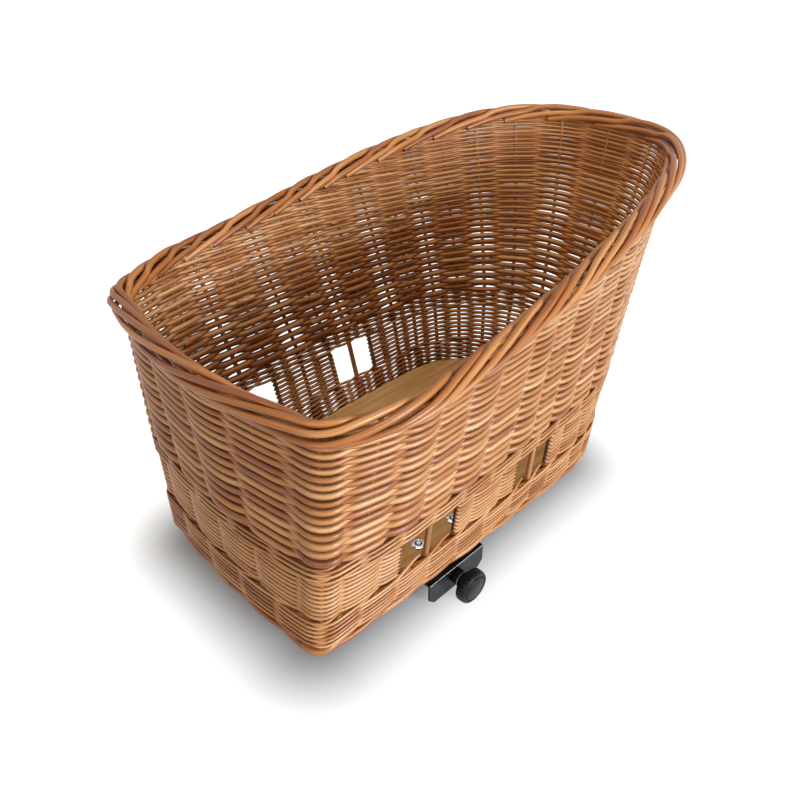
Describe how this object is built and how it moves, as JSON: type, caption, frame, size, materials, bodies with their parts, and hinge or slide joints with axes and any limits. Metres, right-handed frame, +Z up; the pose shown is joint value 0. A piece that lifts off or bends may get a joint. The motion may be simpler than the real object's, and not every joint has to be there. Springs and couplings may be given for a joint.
{
  "type": "bicycle pet basket",
  "caption": "Willow bicycle pet basket, low and square in front, high and round behind, with small windows, on a plywood board with a sprung carrier clamp under it.",
  "frame": {"origin": "middle of the adapter housing's underside, which sits on a bicycle carrier", "axes": "+X from the low front to the high round rear, the knob on the -Y side, +Z up"},
  "size_m": [0.6485, 0.392, 0.4066],
  "materials": {
    "willow": "peeled rod, clear coat",
    "plywood": "plain sanded",
    "black_plastic": "moulded",
    "black_steel": "black coat",
    "zinc": "zinc plated",
    "chrome": "bright"
  },
  "bodies": {
    "basket": {"foot_border": "willow", "upsett_wale": "willow", "middle_wale": "willow", "rim_border": "willow", "front_window_panel": "willow", "knob_side_window_panel": "willow", "rear_window_panel": "willow", "hook_side_window_panel": "willow", "front_upper_wall": "willow", "knob_side_upper_wall": "willow", "rear_upper_wall": "willow", "hook_side_upper_wall": "willow", "knob_side_front_window_stake": "willow", "knob_side_rear_window_stake": "willow", "hook_side_front_window_stake": "willow", "hook_side_rear_window_stake": "willow", "base_board": "plywood", "knob_side_front_tee_nut": "zinc", "knob_side_rear_tee_nut": "zinc", "hook_side_front_tee_nut": "zinc", "hook_side_rear_tee_nut": "zinc", "knob_side_front_screw": "zinc", "knob_side_rear_screw": "zinc", "hook_side_front_screw": "zinc", "hook_side_rear_screw": "zinc", "adapter_housing": "black_plastic", "adapter_end_cap": "black_plastic", "fixed_hook": "black_plastic", "adapter_end_block": "black_plastic", "rod_bush": "black_plastic", "bracket_plate": "black_steel", "jaw_spring": "chrome"},
    "jaw": {"sliding_jaw": "black_plastic", "pull_rod": "zinc"},
    "knob": {"knob": "black_plastic"}
  },
  "joints": [
    {"name": "jaw_slide", "type": "slide", "parent": "basket", "child": "jaw", "axis": [0, -1, 0], "range_m": [0, 0.014], "stiffness_N_per_m": 900, "springref_m": -0.01, "deforming": ["jaw_spring"]},
    {"name": "knob_turn", "type": "hinge", "parent": "jaw", "child": "knob", "pos_m": [0, -0.1604, -0.016], "axis": [0, -1, 0], "continuous": true}
  ]
}
